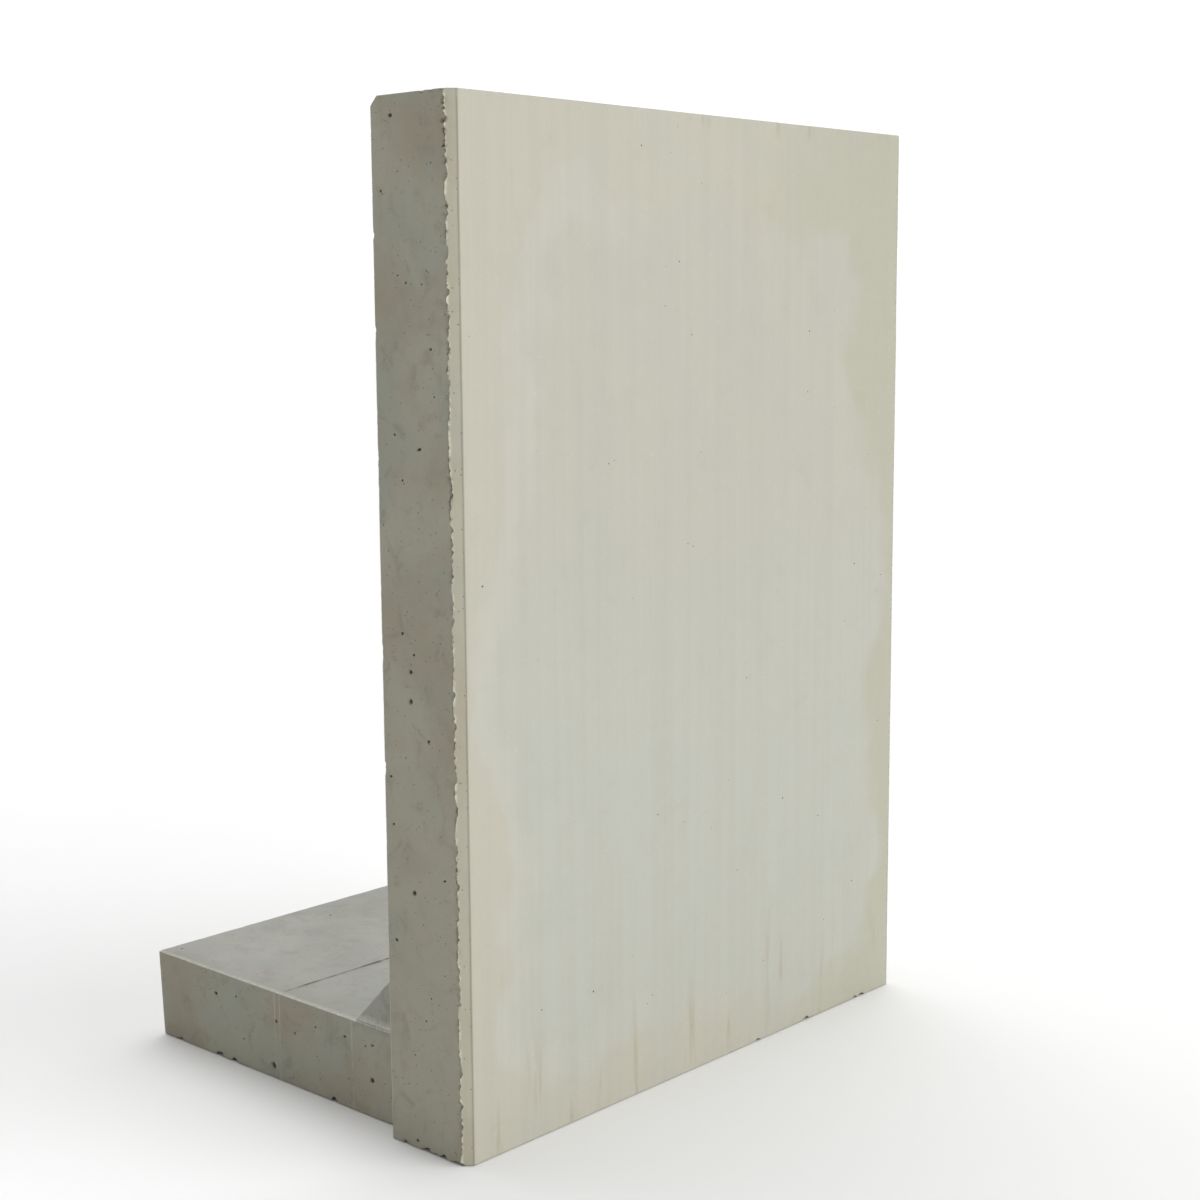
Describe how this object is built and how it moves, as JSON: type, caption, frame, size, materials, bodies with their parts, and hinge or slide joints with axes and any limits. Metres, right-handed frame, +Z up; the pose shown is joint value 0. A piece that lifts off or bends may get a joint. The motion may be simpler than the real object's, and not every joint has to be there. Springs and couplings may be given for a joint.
{
  "type": "precast concrete retaining wall unit",
  "caption": "L-shaped precast concrete wall unit: plain upright stem, rear foot with a haunch, steel cage and threaded lifting sockets cast in.",
  "frame": {"origin": "on the ground, under the middle of the box around the unit", "axes": "+X along the wall, +Y from the front face back towards the retained earth, +Z up"},
  "size_m": [0.99, 0.73, 1.4],
  "materials": {
    "concrete": "fair-faced concrete, light greenish grey, from a steel mould",
    "bar_steel": "hot-rolled reinforcing steel with mill scale and light rust",
    "tie_wire": "black annealed wire",
    "spacer_plastic": "grey moulded plastic",
    "spacer_mortar": "dense mortar",
    "socket_steel": "zinc-plated steel"
  },
  "bodies": {
    "root": {"concrete_casting": "concrete", "stem_front_bars": "bar_steel", "stem_front_spread_bars": "bar_steel", "stem_back_bars": "bar_steel", "stem_back_spread_bars": "bar_steel", "foot_top_bars": "bar_steel", "foot_top_spread_bars": "bar_steel", "foot_bottom_spread_bars": "bar_steel", "haunch_diagonal_bars": "bar_steel", "haunch_spread_bar": "bar_steel", "stem_top_u_bars": "bar_steel", "foot_end_u_bars": "bar_steel", "front_tie_wires": "tie_wire", "back_tie_wires": "tie_wire", "front_cover_wheels": "spacer_plastic", "back_cover_wheels": "spacer_plastic", "bottom_cover_blocks": "spacer_mortar", "lifting_socket_left": "socket_steel", "lifting_socket_right": "socket_steel", "lifting_tail_bar_left": "bar_steel", "lifting_tail_bar_right": "bar_steel"}
  },
  "joints": []
}
